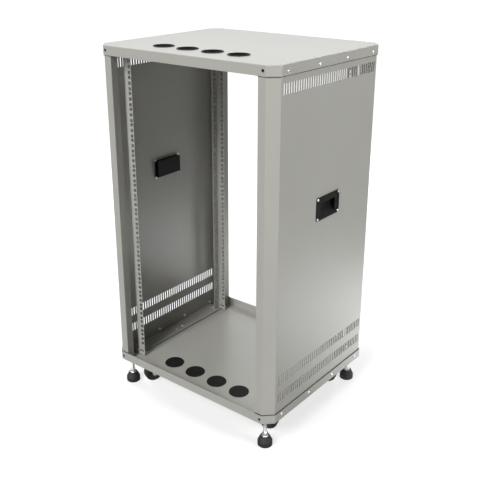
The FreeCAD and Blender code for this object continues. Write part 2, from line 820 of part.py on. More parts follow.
def build():
    """All pieces of the rack."""
    pieces = [
        base_tray(),
        pan("lid", LID_RIM, "overall_height", LID_UNDERSIDE, HIGH_DOOR_HOLE),
        stud_nuts(),
    ]
    for number, (x, y) in enumerate(entry_places(), start=1):
        pieces.append(entry_rim(number, x, y))
        pieces.append(entry_cover(number, x, y))
    for side_name in SIDES:
        pieces.append(side_panel(side_name))
        pieces.append(handle(side_name))
        for end_name in ENDS:
            pieces.append(rail(end_name, side_name))
            pieces.extend(castor(side_name, end_name))
            pieces.extend(foot(side_name, end_name))
    return pieces


def check(pieces):
    """Stop unless every object is sound and every piece is a valid solid with a name of its own."""
    doc.recompute()
    for item in doc.Objects:
        if "Invalid" in item.State or "Error" in item.State:
            raise RuntimeError(f"{item.Label} did not build: {item.State}")
    labels = [piece.Label for piece in pieces]
    if len(set(labels)) != len(labels):
        raise RuntimeError("two pieces share a name")
    for piece in pieces:
        if piece.Shape.isNull() or not piece.Shape.isValid() or not piece.Shape.Solids:
            raise RuntimeError(f"{piece.Label} is not a valid solid")


parts = build()
check(parts)
os.makedirs("parts", exist_ok=True)
for part in parts:
    part.Shape.exportStep(f"parts/{part.Label}.step")
print(f"{len(parts)} parts written")
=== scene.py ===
import json
import logging
import math
from dataclasses import dataclass, field
from enum import Enum
from typing import Iterable, Sequence

import bmesh
import bpy
from mathutils import Matrix, Vector


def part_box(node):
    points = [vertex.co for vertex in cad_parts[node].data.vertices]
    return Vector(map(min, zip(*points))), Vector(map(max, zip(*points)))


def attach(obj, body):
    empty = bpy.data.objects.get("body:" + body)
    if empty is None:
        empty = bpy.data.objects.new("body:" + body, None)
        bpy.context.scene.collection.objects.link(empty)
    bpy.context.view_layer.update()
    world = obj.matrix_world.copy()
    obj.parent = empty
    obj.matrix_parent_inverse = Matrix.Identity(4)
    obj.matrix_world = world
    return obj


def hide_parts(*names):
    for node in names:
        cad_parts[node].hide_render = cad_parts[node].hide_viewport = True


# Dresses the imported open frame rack: finishes, fasteners, threads, studio and camera.

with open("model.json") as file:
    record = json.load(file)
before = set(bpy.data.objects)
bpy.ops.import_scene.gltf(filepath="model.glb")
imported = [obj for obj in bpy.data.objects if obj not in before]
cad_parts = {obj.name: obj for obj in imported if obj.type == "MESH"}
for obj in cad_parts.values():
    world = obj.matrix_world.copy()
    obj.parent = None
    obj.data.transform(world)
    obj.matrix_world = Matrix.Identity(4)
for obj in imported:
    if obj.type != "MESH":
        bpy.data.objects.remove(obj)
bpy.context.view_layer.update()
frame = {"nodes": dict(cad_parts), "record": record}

log = logging.getLogger("rack")

MM = 0.001
FULL_TURN = math.tau
ROUND_STEPS = 24
WELD = 1e-7
SLIVER = 1e-8
FRAME_BODY = "frame"
SIDES: dict[str, int] = {"left": -1, "right": 1}
ENDS: dict[str, int] = {"front": -1, "rear": 1}

Colour = tuple[float, float, float]
Point = tuple[float, float, float]
Mesh = bmesh.types.BMesh
Socket = bpy.types.NodeSocket


class Facing(Enum):
    """Direction in which the head of a fastener points."""

    LEFT = (-1.0, 0.0, 0.0)
    RIGHT = (1.0, 0.0, 0.0)
    FRONT = (0.0, -1.0, 0.0)
    REAR = (0.0, 1.0, 0.0)
    UP = (0.0, 0.0, 1.0)
    DOWN = (0.0, 0.0, -1.0)

    @property
    def vector(self) -> Vector:
        """Unit vector of the direction."""
        return Vector(self.value)

    @classmethod
    def outward(cls, side: str) -> "Facing":
        """Direction that leads out of the rack on one side."""
        return cls.LEFT if side == "left" else cls.RIGHT

    @classmethod
    def inward(cls, side: str) -> "Facing":
        """Direction that leads into the rack from one side."""
        return cls.RIGHT if side == "left" else cls.LEFT


# Finishes


class ShaderTree:
    """Node tree of one material, with short calls for the nodes the finishes need."""

    NOISE_LOW = 0.3
    NOISE_HIGH = 0.7

    def __init__(self, name: str) -> None:
        """Start an empty material.

        Args:
            name: name of the material.
        """
        self.material = bpy.data.materials.new(name)
        self.material.use_nodes = True
        self.nodes = self.material.node_tree.nodes
        self.links = self.material.node_tree.links
        self.shader = self.nodes["Principled BSDF"]
        self.place = self.nodes.new("ShaderNodeTexCoord").outputs["Object"]

    def noise(self, scale: float, detail: float, roughness: float = 0.5) -> Socket:
        """Noise over the piece.

        Args:
            scale: features per metre.
            detail: octaves.
            roughness: weight of the finer octaves.

        Returns:
            The noise factor.
        """
        node = self.nodes.new("ShaderNodeTexNoise")
        node.inputs["Scale"].default_value = scale
        node.inputs["Detail"].default_value = detail
        node.inputs["Roughness"].default_value = roughness
        self.links.new(self.place, node.inputs["Vector"])
        return node.outputs["Fac"]

    def grains(self, scale: float) -> Socket:
        """Cell pattern over the piece, as in a moulded grain.

        Args:
            scale: cells per metre.

        Returns:
            The distance to the nearest cell middle.
        """
        node = self.nodes.new("ShaderNodeTexVoronoi")
        node.inputs["Scale"].default_value = scale
        self.links.new(self.place, node.inputs["Vector"])
        return node.outputs["Distance"]

    def remap(self, value: Socket, start: tuple[float, float], end: tuple[float, float]) -> Socket:
        """Map one range of a value onto another.

        Args:
            value: value to map.
            start: a value and what it becomes.
            end: another value and what it becomes.

        Returns:
            The mapped value.
        """
        node = self.nodes.new("ShaderNodeMapRange")
        node.inputs["From Min"].default_value, node.inputs["To Min"].default_value = start
        node.inputs["From Max"].default_value, node.inputs["To Max"].default_value = end
        self.links.new(value, node.inputs["Value"])
        return node.outputs["Result"]

    def span(self, factor: Socket, low: float, high: float) -> Socket:
        """Spread a noise factor between two values."""
        return self.remap(factor, (self.NOISE_LOW, low), (self.NOISE_HIGH, high))

    def tint(self, factor: Socket, dark: Colour, light: Colour) -> Socket:
        """Mix two colours.

        Args:
            factor: value that runs from 0 to 1.
            dark: colour at 0.
            light: colour at 1.

        Returns:
            The mixed colour.
        """
        node = self.nodes.new("ShaderNodeMix")
        node.data_type = "RGBA"
        node.inputs["A"].default_value = (*dark, 1.0)
        node.inputs["B"].default_value = (*light, 1.0)
        self.links.new(factor, node.inputs["Factor"])
        return node.outputs["Result"]

    def relief(self, height: Socket, depth: float, strength: float) -> None:
        """Turn a height into surface relief, over any relief that is there already.

        Args:
            height: height factor.
            depth: height of the relief in metres.
            strength: share of it that shows.
        """
        node = self.nodes.new("ShaderNodeBump")
        node.inputs["Distance"].default_value = depth
        node.inputs["Strength"].default_value = strength
        self.links.new(height, node.inputs["Height"])
        before = self.shader.inputs["Normal"].links
        if before:
            self.links.new(before[0].from_socket, node.inputs["Normal"])
        self.links.new(node.outputs["Normal"], self.shader.inputs["Normal"])

    def spread(
        self, near: tuple[float, float], far: tuple[float, float], middle: Point = (0.0, 0.0, 0.0)
    ) -> Socket:
        """Value that changes with the distance from a point.

        Args:
            near: distance in metres up to which the first value holds, and that value.
            far: distance in metres from which the second value holds, and that value.
            middle: the point.

        Returns:
            The value.
        """
        distance = self.nodes.new("ShaderNodeVectorMath")
        distance.operation = "DISTANCE"
        distance.inputs[1].default_value = middle
        self.links.new(self.place, distance.inputs[0])
        return self.remap(distance.outputs["Value"], near, far)

    def feed(self, socket: str, value: Socket) -> None:
        """Lead a value to a socket of the shader."""
        self.links.new(value, self.shader.inputs[socket])


def scaled(colour: Colour, share: float) -> Colour:
    """Colour made lighter or darker by a share."""
    return tuple(min(channel * share, 1.0) for channel in colour)


@dataclass(frozen=True)
class PowderCoat:
    """Baked powder paint: fine orange peel, faint mottling and a satin sheen."""

    name: str
    colour: Colour
    mottle: float = 0.025
    mottle_scale: float = 5.0
    gloss_low: float = 0.31
    gloss_high: float = 0.29
    gloss_scale: float = 38.0
    peel: float = 620.0
    peel_depth: float = 0.00006
    peel_strength: float = 0.55
    wave: float = 9.0
    wave_depth: float = 0.0004
    wave_strength: float = 0.08

    def material(self) -> bpy.types.Material:
        """Make the nodes of this finish.

        Returns:
            The material.
        """
        tree = ShaderTree(self.name)
        cloud = tree.span(tree.noise(self.mottle_scale, detail=4.0), 0.0, 1.0)
        dark, light = scaled(self.colour, 1 - self.mottle), scaled(self.colour, 1 + self.mottle)
        tree.feed("Base Color", tree.tint(cloud, dark, light))
        gloss = tree.noise(self.gloss_scale, detail=3.0)
        tree.feed("Roughness", tree.span(gloss, self.gloss_low, self.gloss_high))
        tree.relief(tree.noise(self.peel, detail=2.0), self.peel_depth, self.peel_strength)
        tree.relief(tree.noise(self.wave, detail=1.0), self.wave_depth, self.wave_strength)
        return tree.material


@dataclass(frozen=True)
class MouldedPlastic:
    """Black moulded plastic with a fine spark-eroded grain."""

    name: str
    colour: Colour
    dust: float = 1.6
    dust_scale: float = 55.0
    dust_fineness: float = 0.65
    roughness_low: float = 0.46
    roughness_high: float = 0.60
    roughness_scale: float = 120.0
    specular: float = 0.12
    grain: float = 1500.0
    grain_depth: float = 0.00007
    grain_strength: float = 0.5

    def material(self) -> bpy.types.Material:
        """Make the nodes of this finish.

        Returns:
            The material.
        """
        tree = ShaderTree(self.name)
        tree.shader.inputs["Specular IOR Level"].default_value = self.specular
        dust = tree.noise(self.dust_scale, detail=6.0, roughness=self.dust_fineness)
        dusty = scaled(self.colour, self.dust)
        tree.feed("Base Color", tree.tint(tree.span(dust, 0.0, 1.0), self.colour, dusty))
        gloss = tree.noise(self.roughness_scale, detail=3.0)
        tree.feed("Roughness", tree.span(gloss, self.roughness_low, self.roughness_high))
        tree.relief(tree.grains(self.grain), self.grain_depth, self.grain_strength)
        return tree.material


@dataclass(frozen=True)
class MattRubber:
    """Matt black rubber with a dusty, slightly pitted skin."""

    name: str
    colour: Colour
    dust: float = 2.2
    dust_scale: float = 70.0
    dust_fineness: float = 0.7
    roughness: float = 0.72
    roughness_play: float = 0.1
    roughness_scale: float = 150.0
    pits: float = 900.0
    pit_fineness: float = 0.7
    pit_depth: float = 0.00012
    pit_strength: float = 0.45

    def material(self) -> bpy.types.Material:
        """Make the nodes of this finish.

        Returns:
            The material.
        """
        tree = ShaderTree(self.name)
        dust = tree.noise(self.dust_scale, detail=8.0, roughness=self.dust_fineness)
        dusty = scaled(self.colour, self.dust)
        tree.feed("Base Color", tree.tint(tree.span(dust, 0.0, 1.0), self.colour, dusty))
        low, high = self.roughness - self.roughness_play, self.roughness + self.roughness_play
        tree.feed("Roughness", tree.span(tree.noise(self.roughness_scale, detail=2.0), low, high))
        pits = tree.noise(self.pits, detail=4.0, roughness=self.pit_fineness)
        tree.relief(pits, self.pit_depth, self.pit_strength)
        return tree.material


@dataclass(frozen=True)
class ZincPlate:
    """Bright zinc plating: cool metal with cloudy gloss and fine pressing marks."""

    name: str
    colour: Colour
    metallic: float = 0.85
    cloud: float = 0.86
    cloud_scale: float = 160.0
    cloud_fineness: float = 0.6
    gloss_low: float = 0.42
    gloss_high: float = 0.24
    gloss_scale: float = 230.0
    marks: float = 1400.0
    mark_depth: float = 0.00003
    mark_strength: float = 0.4

    def material(self) -> bpy.types.Material:
        """Make the nodes of this finish.

        Returns:
            The material.
        """
        tree = ShaderTree(self.name)
        tree.shader.inputs["Metallic"].default_value = self.metallic
        cloud = tree.noise(self.cloud_scale, detail=4.0, roughness=self.cloud_fineness)
        cloudy = scaled(self.colour, self.cloud)
        tree.feed("Base Color", tree.tint(tree.span(cloud, 0.0, 1.0), cloudy, self.colour))
        gloss = tree.noise(self.gloss_scale, detail=3.0)
        tree.feed("Roughness", tree.span(gloss, self.gloss_low, self.gloss_high))
        tree.relief(tree.noise(self.marks, detail=3.0), self.mark_depth, self.mark_strength)
        return tree.material


class Finishes:
    """The rack's finishes, made once and given to nodes and pieces by record slot."""

    def __init__(self) -> None:
        """Make the materials."""
        finishes = {
            "grey_paint": PowderCoat("grey_powder_coat", (0.332, 0.328, 0.301)),
            "rail_paint": PowderCoat("rail_powder_coat", (0.352, 0.349, 0.325), peel=760.0),
            "black_plastic": MouldedPlastic("black_moulded_plastic", (0.005, 0.005, 0.0048)),
            "black_rubber": MattRubber("black_foot_rubber", (0.007, 0.007, 0.007)),
            "black_tread": MattRubber("black_wheel_tread", (0.009, 0.009, 0.009), roughness=0.6),
            "zinc": ZincPlate("bright_zinc", (0.80, 0.81, 0.82)),
        }
        self.by_slot: dict[str, bpy.types.Material] = {
            slot: finish.material() for slot, finish in finishes.items()
        }

    def dress_nodes(self) -> None:
        """Give every CAD node the material of its slot."""
        for entry in frame["record"]["subparts"]:
            node = frame["nodes"][entry["node"]]
            for slot in node.material_slots:
                slot.material = self.by_slot[entry["material_slot"]]


# Mesh work


def turn_to(facing: Facing, spin: float = 0.0) -> Matrix:
    """Rotation that leads +Z to a direction.

    Args:
        facing: direction for +Z.
        spin: turn about that direction first, in radians.

    Returns:
        The rotation.
    """
    lead = facing.vector.to_track_quat("Z", "Y").to_matrix().to_4x4()
    return lead @ Matrix.Rotation(spin, 4, "Z")


def verts_of(geometry: Iterable[object]) -> list[bmesh.types.BMVert]:
    """Vertices among the geometry that an operator made."""
    return [item for item in geometry if isinstance(item, bmesh.types.BMVert)]


def ring_of(verts: Iterable[bmesh.types.BMVert]) -> list[bmesh.types.BMEdge]:
    """Edges that meet at any of some vertices."""
    return list({edge for vert in verts for edge in vert.link_edges})


def lathe(profile: Sequence[tuple[float, float]], steps: int = ROUND_STEPS) -> Mesh:
    """Turn a profile about the Z axis.

    Args:
        profile: points as radius and height, in metres.
        steps: segments of a full turn.

    Returns:
        The turned, closed mesh.
    """
    bm = bmesh.new()
    points = [bm.verts.new((radius, 0.0, height)) for radius, height in profile]
    chain = [bm.edges.new(pair) for pair in zip(points, points[1:])]
    bmesh.ops.spin(
        bm,
        geom=points + chain,
        cent=(0, 0, 0),
        axis=(0, 0, 1),
        angle=FULL_TURN,
        steps=steps,
        use_merge=True,
    )
    bmesh.ops.remove_doubles(bm, verts=bm.verts, dist=WELD)
    bmesh.ops.dissolve_degenerate(bm, edges=bm.edges, dist=SLIVER)
    bmesh.ops.recalc_face_normals(bm, faces=bm.faces)
    return bm


def rim_edges(bm: Mesh) -> list[bmesh.types.BMEdge]:
    """Edges that border only one face, or none."""
    return [edge for edge in bm.edges if len(edge.link_faces) < 2]


def grow_ring(
    bm: Mesh, ring: Iterable[bmesh.types.BMEdge], share: float, rise: float
) -> list[bmesh.types.BMEdge]:
    """Extrude a ring of edges round the Z axis, scale it and lift it.

    Args:
        bm: mesh to work on.
        ring: edges of the ring.
        share: scale of the new ring across the axis.
        rise: lift of the new ring, in metres.

    Returns:
        The edges of the new ring.
    """
    made = bmesh.ops.extrude_edge_only(bm, edges=list(ring))["geom"]
    verts = verts_of(made)
    bmesh.ops.scale(bm, vec=(share, share, 1.0), verts=verts)
    bmesh.ops.translate(bm, vec=(0.0, 0.0, rise), verts=verts)
    inside = set(verts)
    return [
        item
        for item in made
        if isinstance(item, bmesh.types.BMEdge) and inside.issuperset(item.verts)
    ]


def joined(parts: Iterable[tuple[Mesh, Matrix]]) -> Mesh:
    """Put several meshes into one.

    Args:
        parts: meshes with the place of each; they are freed.

    Returns:
        The one mesh.
    """
    whole = bmesh.new()
    for part, place in parts:
        part.transform(place)
        mesh = bpy.data.meshes.new("part")
        part.to_mesh(mesh)
        part.free()
        whole.from_mesh(mesh)
        bpy.data.meshes.remove(mesh)
    return whole


@dataclass
class CrossHeadScrew:
    """Round-headed machine screw with a cross recess, seated on z 0 with its head upwards."""

    head: float = 9.0 * MM
    height: float = 2.4 * MM
    crown: float = 0.34
    dome: tuple[tuple[float, float], ...] = ((1.22, 0.14), (1.13, 0.24), (1.05, 0.34), (1.0, 0.28))
    recess_reach: float = 0.27
    recess_half_width: float = 0.055
    recess_depth: float = 0.55
    recess_taper: float = 0.8

    def mesh(self) -> Mesh:
        """Sink the recess into the head and grow its dome ring by ring.

        Returns:
            The closed head.
        """
        bm = bmesh.new()
        reach = self.head * self.recess_reach
        half = self.head * self.recess_half_width
        flats = ((reach, -half), (reach, half), (half, half))
        arm = [Vector((*flat, self.height)) for flat in flats]
        corners = [
            bm.verts.new(Matrix.Rotation(quarter * FULL_TURN / 4, 3, "Z") @ corner)
            for quarter in range(4)
            for corner in arm
        ]
        cross = [bm.edges.new(pair) for pair in zip(corners, corners[1:] + corners[:1])]
        bmesh.ops.subdivide_edges(bm, edges=cross, cuts=1)
        cross = list(bm.edges)
        crown = bmesh.ops.create_circle(bm, segments=ROUND_STEPS, radius=self.head * self.crown)
        bmesh.ops.translate(bm, vec=(0, 0, self.height), verts=crown["verts"])
        ring = ring_of(crown["verts"])
        bmesh.ops.bridge_loops(bm, edges=cross + ring)
        floor = grow_ring(bm, cross, self.recess_taper, -self.height * self.recess_depth)
        bmesh.ops.contextual_create(bm, geom=floor)
        for share, drop in self.dome:
            ring = grow_ring(bm, ring, share, -self.height * drop)
        bmesh.ops.contextual_create(bm, geom=ring)
        bmesh.ops.recalc_face_normals(bm, faces=bm.faces)
        return bm


@dataclass
class HexNut:
    """Hexagon nut with chamfered corners and a round bore, standing on z 0."""

    across: float
    thickness: float
    bore: float
    chamfer: float = 0.7 * MM
    chamfer_from: float = 0.95

    def mesh(self) -> Mesh:
        """Bridge the hexagon to its bore, thicken it and draw its corners in.

        Returns:
            The closed nut.
        """
        bm = bmesh.new()
        corner_radius = self.across / math.sqrt(3)
        bmesh.ops.create_circle(bm, segments=6, radius=corner_radius)
        bmesh.ops.subdivide_edges(bm, edges=list(bm.edges), cuts=3)
        outline = list(bm.edges)
        hole = bmesh.ops.create_circle(bm, segments=ROUND_STEPS, radius=self.bore / 2)
        bmesh.ops.bridge_loops(bm, edges=outline + ring_of(hole["verts"]))
        made = bmesh.ops.extrude_face_region(bm, geom=list(bm.faces), use_keep_orig=True)["geom"]
        bmesh.ops.translate(bm, vec=(0, 0, self.thickness), verts=verts_of(made))
        for vert in bm.verts:
            if vert.co.xy.length > corner_radius * self.chamfer_from:
                vert.co.z += self.chamfer * (-1 if vert.co.z > self.thickness / 2 else 1)
        bmesh.ops.recalc_face_normals(bm, faces=bm.faces)
        return bm


@dataclass
class HexBolt:
    """Hexagon bolt head on a round flange, seated on z 0 with its head upwards."""

    across: float = 10.0 * MM
    height: float = 4.0 * MM
    flange: float = 14.0 * MM
    flange_height: float = 1.2 * MM
    flange_rim: float = 0.5
    flange_taper: float = 0.9
    sink: float = 0.9
    edge: float = 0.5 * MM

    def mesh(self) -> Mesh:
        """Turn the flange and grow the hexagon out of it.

        Returns:
            Head and flange as one mesh.
        """
        radius = self.flange / 2
        bm = lathe(
            [
                (0.0, 0.0),
                (radius, 0.0),
                (radius, self.flange_height * self.flange_rim),
                (radius * self.flange_taper, self.flange_height),
                (0.0, self.flange_height),
            ]
        )
        corner_radius = self.across / math.sqrt(3)
        made = bmesh.ops.create_circle(bm, cap_ends=True, segments=6, radius=corner_radius)["verts"]
        bmesh.ops.translate(bm, vec=(0, 0, self.flange_height * self.sink), verts=made)
        base = next(face for face in bm.faces if set(face.verts) == set(made))
        grown = bmesh.ops.extrude_face_region(bm, geom=[base], use_keep_orig=True)["geom"]
        bmesh.ops.translate(bm, vec=(0, 0, self.height), verts=verts_of(grown))
        top = [item for item in grown if isinstance(item, bmesh.types.BMFace)]
        bmesh.ops.bevel(
            bm,
            geom=[edge for face in top for edge in face.edges],
            offset=self.edge,
            affect="EDGES",
            segments=2,
            profile=0.5,
            material=-1,
        )
        bmesh.ops.recalc_face_normals(bm, faces=bm.faces)
        return bm


@dataclass
class ThreadedRod:
    """Threaded rod along +Z from z 0, with its thread cut as one helix."""

    diameter: float
    pitch: float
    length: float
    steps: int = 16
    depth: float = 0.54
    crest: tuple[float, float] = (0.42, 0.58)
    end_chamfer: float = 0.8 * MM
    weld: float = 1e-6

    def mesh(self) -> Mesh:
        """Wind the thread and put a turned core into it.

        Returns:
            The rod with closed ends.
        """
        radius = self.diameter / 2
        root = radius - self.pitch * self.depth
        turns = int(self.length / self.pitch) - 1
        bm = bmesh.new()
        profile = [(root, 0.0), *((radius, share) for share in self.crest), (root, 1.0)]
        points = [bm.verts.new((r, 0.0, share * self.pitch)) for r, share in profile]
        chain = [bm.edges.new(pair) for pair in zip(points, points[1:])]
        bmesh.ops.spin(
            bm,
            geom=points + chain,
            cent=(0, 0, 0),
            axis=(0, 0, 1),
            dvec=(0, 0, self.pitch / self.steps),
            angle=FULL_TURN * turns,
            steps=self.steps * turns,
        )
        bmesh.ops.remove_doubles(bm, verts=bm.verts, dist=self.weld)
        bmesh.ops.holes_fill(bm, edges=rim_edges(bm), sides=0)
        bmesh.ops.recalc_face_normals(bm, faces=bm.faces)
        core = lathe(
            [
                (0.0, 0.0),
                (root, 0.0),
                (root, self.length - self.end_chamfer),
                (root - self.end_chamfer, self.length),
                (0.0, self.length),
            ]
        )
        return joined([(bm, Matrix.Identity(4)), (core, Matrix.Identity(4))])


class Workshop:
    """Turns meshes into finished pieces that ride on the rack's bodies."""

    SMOOTH_UNDER = math.radians(34.0)

    def __init__(self, finishes: Finishes) -> None:
        """Keep the finishes at hand.

        Args:
            finishes: materials by slot.
        """
        self.finishes = finishes
        self.count = 0

    def add(
        self, name: str, bm: Mesh, slot: str, body: str = FRAME_BODY, stands_for: Sequence[str] = ()
    ) -> None:
        """Make a piece of a mesh.

        Args:
            name: name of the piece.
            bm: its mesh, in place; it is freed.
            slot: record slot of its finish.
            body: body it rides on.
            stands_for: CAD nodes that it replaces.
        """
        mesh = bpy.data.meshes.new(name)
        bm.to_mesh(mesh)
        bm.free()
        mesh.polygons.foreach_set("use_smooth", [True] * len(mesh.polygons))
        mesh.set_sharp_from_angle(angle=self.SMOOTH_UNDER)
        mesh.materials.append(self.finishes.by_slot[slot])
        piece = bpy.data.objects.new(name, mesh)
        bpy.context.scene.collection.objects.link(piece)
        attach(piece, body)
        if stands_for:
            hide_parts(*stands_for)
        self.count += 1
        log.info("piece %s: %d faces on %s", name, len(mesh.polygons), body)


# Sub-assemblies


@dataclass(frozen=True)
class NodeBox:
    """Box of one CAD node at rest, from which the fasteners take their places."""

    low: Vector
    high: Vector

    @classmethod
    def of(cls, node: str) -> "NodeBox":
        """Box of a node of the frame."""
        return cls(*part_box(node))

    @property
    def middle(self) -> Vector:
        """Middle of the box."""
        return (self.low + self.high) / 2

    def outer(self, sign: int) -> float:
        """Place across the rack of the face that is on one side."""
        return self.high.x if sign > 0 else self.low.x


@dataclass
class PanelFasteners:
    """Screws that hold lid and base tray to the side panels, with their nuts inside."""

    lid_drop: float = 18.0 * MM
    base_rise: float = 16.0 * MM
    lid_places: tuple[float, ...] = (-196.5 * MM, -64.0 * MM, 64.0 * MM, 196.5 * MM)
    base_places: tuple[float, ...] = (-193.5 * MM, -61.5 * MM, 61.5 * MM, 193.5 * MM)
    panel_sheet: float = 1.5 * MM
    first_turn: float = 0.5
    turn_step: float = 1.0
    nut_turn_step: float = 0.3
    screw: CrossHeadScrew = field(default_factory=CrossHeadScrew)
    nut: HexNut = field(default_factory=lambda: HexNut(8.0 * MM, 3.8 * MM, 5.0 * MM, 0.5 * MM))
    thread: ThreadedRod = field(
        default_factory=lambda: ThreadedRod(4.9 * MM, 0.8 * MM, 7.0 * MM, steps=12)
    )

    def build(self, shop: Workshop) -> None:
        """Make the screws and nuts of both sides.

        Args:
            shop: makes the pieces.
        """
        lid, base = NodeBox.of("lid"), NodeBox.of("base_tray")
        rows = {
            "lid": (lid, lid.high.z - self.lid_drop, self.lid_places),
            "base": (base, base.low.z + self.base_rise, self.base_places),
        }
        for side, sign in SIDES.items():
            wall = NodeBox.of(f"{side}_side_panel").outer(sign) - sign * self.panel_sheet
            for row, (pan, level, places) in rows.items():
                heads = []
                nuts = []
                for number, y in enumerate(places):
                    outside = Matrix.Translation((pan.outer(sign), y, level))
                    inside = Matrix.Translation((wall, y, level))
                    turn = self.first_turn + self.turn_step * number
                    heads.append((self.screw.mesh(), outside @ turn_to(Facing.outward(side), turn)))
                    inward = inside @ turn_to(Facing.inward(side), self.nut_turn_step * number)
                    nuts.append((self.nut.mesh(), inward))
                    nuts.append((self.thread.mesh(), inward))
                shop.add(f"{row}_screws_{side}", joined(heads), "zinc")
                shop.add(f"{row}_nuts_{side}", joined(nuts), "zinc")


@dataclass
class SeamShadeStrips:
    """Black strips in the gaps between the side panels and the lips of lid and base tray: painted
    shade that darkens each seam as its shadow would, not a part of the rack.
    """

    chamfer: float = 27.0 * MM
    lap_inset: float = 51.5 * MM
    panel_inset: float = 2.45 * MM
    leg_inset: float = 1.6 * MM
    head_inset: float = 0.3 * MM
    head_height: float = 1.2 * MM
    leg_depth: float = 6.0 * MM

    def build(self, shop: Workshop) -> None:
        """Make the strips of both sides.

        Args:
            shop: makes the pieces.
        """
        base, lid = NodeBox.of("base_tray"), NodeBox.of("lid")
        rims = {"base": (base, base.high.z, 1), "lid": (lid, lid.low.z, -1)}
        for side, sign in SIDES.items():
            for row, (pan, level, way) in rims.items():
                head = self.band(pan, sign, self.head_inset, level, way * self.head_height)
                leg = self.band(pan, sign, self.leg_inset, level, -way * self.leg_depth)
                strip = joined([(head, Matrix.Identity(4)), (leg, Matrix.Identity(4))])
                # The black strip is painted shade: it stands for the shadow in the seam gap.
                shop.add(f"{row}_seam_shade_strip_{side}", strip, "black_rubber")

    def outline(self, pan: NodeBox, sign: int, inset: float) -> list[Vector]:
        """Line round one side panel, from its front flange over both chamfers to its rear flange.

        Args:
            pan: box of lid or base tray.
            sign: side of the rack.
            inset: distance inwards from the pan's outer faces.

        Returns:
            The corners of the line.
        """
        x, y = pan.high.x - inset, pan.high.y - inset
        lap = pan.high.x - self.lap_inset
        cut = self.chamfer - inset * (2.0 - math.sqrt(2.0))
        front = ((lap, -y), (x - cut, -y), (x, cut - y))
        rear = ((x, y - cut), (x - cut, y), (lap, y))
        return [Vector((sign * across, along, 0.0)) for across, along in front + rear]

    def band(self, pan: NodeBox, sign: int, outer: float, level: float, rise: float) -> Mesh:
        """Flat band along the panel's outline.

        Args:
            pan: box of lid or base tray.
            sign: side of the rack.
            outer: inset of the band's outer edge.
            level: height of its first face.
            rise: height of its second face above the first.

        Returns:
            The closed band.
        """
        bm = bmesh.new()
        points = [bm.verts.new(corner) for corner in self.outline(pan, sign, self.panel_inset)]
        line = [bm.edges.new(pair) for pair in zip(points, points[1:])]
        made = bmesh.ops.extrude_edge_only(bm, edges=line)["geom"]
        inner = (tuple(point.co) for point in points)
        targets = dict(zip(inner, self.outline(pan, sign, outer)))
        for vert in verts_of(made):
            vert.co = targets[tuple(vert.co)]
        bmesh.ops.translate(bm, vec=(0, 0, level), verts=bm.verts)
        grown = bmesh.ops.extrude_face_region(bm, geom=list(bm.faces), use_keep_orig=True)["geom"]
        bmesh.ops.translate(bm, vec=(0, 0, rise), verts=verts_of(grown))
        bmesh.ops.recalc_face_normals(bm, faces=bm.faces)
        return bm


@dataclass
class DoorBushings:
    """Black bushings in the door holes at the front and rear corners of lid and base tray."""

    inset: float = 35.0 * MM
    lip_height: float = 27.0 * MM
    bore: float = 2.1 * MM
    bore_rim: float = 1.15
    shank: float = 1.35
    flange: float = 3.9 * MM
    flange_top: float = 0.92
    proud: float = 0.5 * MM
    rim_height: float = 0.6
    edge_height: float = 0.4
    depth: float = 1.4 * MM
    floor: float = 1.2

    def build(self, shop: Workshop) -> None:
        """Make the bushings.

        Args:
            shop: makes the pieces.
        """
        base, lid = NodeBox.of("base_tray"), NodeBox.of("lid")
        levels = {
            "base": base.low.z + self.lip_height / 2,
            "lid": lid.high.z - self.lip_height / 2,
        }
        for end, way in ENDS.items():
            face = Facing.FRONT if way < 0 else Facing.REAR
            for row, level in levels.items():
                x, y = base.high.x - self.inset, way * base.high.y
                pair = [
                    (self.bushing(), Matrix.Translation((sign * x, y, level)) @ turn_to(face))
                    for sign in SIDES.values()
                ]
                shop.add(f"{row}_door_bushings_{end}", joined(pair), "black_plastic")

    def bushing(self) -> Mesh:
        """Turn one bushing.

        Returns:
            The flanged cup, with its flange on z 0.
        """
        return lathe(
            [
                (0.0, -self.depth),
                (self.bore, -self.depth),
                (self.bore, self.proud * self.rim_height),
                (self.bore * self.bore_rim, self.proud),
                (self.flange * self.flange_top, self.proud),
                (self.flange, self.proud * self.edge_height),
                (self.flange, 0.0),
                (self.bore * self.shank, 0.0),
                (self.bore * self.shank, -self.depth * self.floor),
                (0.0, -self.depth * self.floor),
            ]
        )


@dataclass
class RailFasteners:
    """Bolts through the end tabs of the rails and small screws along the ledges."""

    tab_end: float = 13.0 * MM
    tab_thickness: float = 2.0 * MM
    low_turn: float = 0.4
    high_turn: float = 0.9
    ledge_screw_x: float = 262.0 * MM
    ledge_screw_places: tuple[float, ...] = (-14.0 * MM, 14.0 * MM)
    bolt: HexBolt = field(default_factory=HexBolt)
    small_screw: CrossHeadScrew = field(
        default_factory=lambda: CrossHeadScrew(head=6.0 * MM, height=1.8 * MM)
    )

    def build(self, shop: Workshop) -> None:
        """Make the bolts of the four rails and the ledge screws.

        Args:
            shop: makes the pieces.
        """
        for side, sign in SIDES.items():
            for end in ENDS:
                rail = NodeBox.of(f"{end}_{side}_rail")
                place = (rail.outer(sign) - sign * self.tab_end, rail.middle.y)
                low_tab = Matrix.Translation((*place, rail.low.z + self.tab_thickness))
                high_tab = Matrix.Translation((*place, rail.high.z - self.tab_thickness))
                bolts = [
                    (self.bolt.mesh(), low_tab @ turn_to(Facing.UP, self.low_turn)),
                    (self.bolt.mesh(), high_tab @ turn_to(Facing.DOWN, self.high_turn)),
                ]
                shop.add(f"rail_bolts_{end}_{side}", joined(bolts), "zinc")
            ledge = NodeBox.of(f"front_{side}_rail").low.z
            screws = [
                (self.small_screw.mesh(), Matrix.Translation((sign * self.ledge_screw_x, y, ledge)))
                for y in self.ledge_screw_places
            ]
            shop.add(f"ledge_screws_{side}", joined(screws), "zinc")


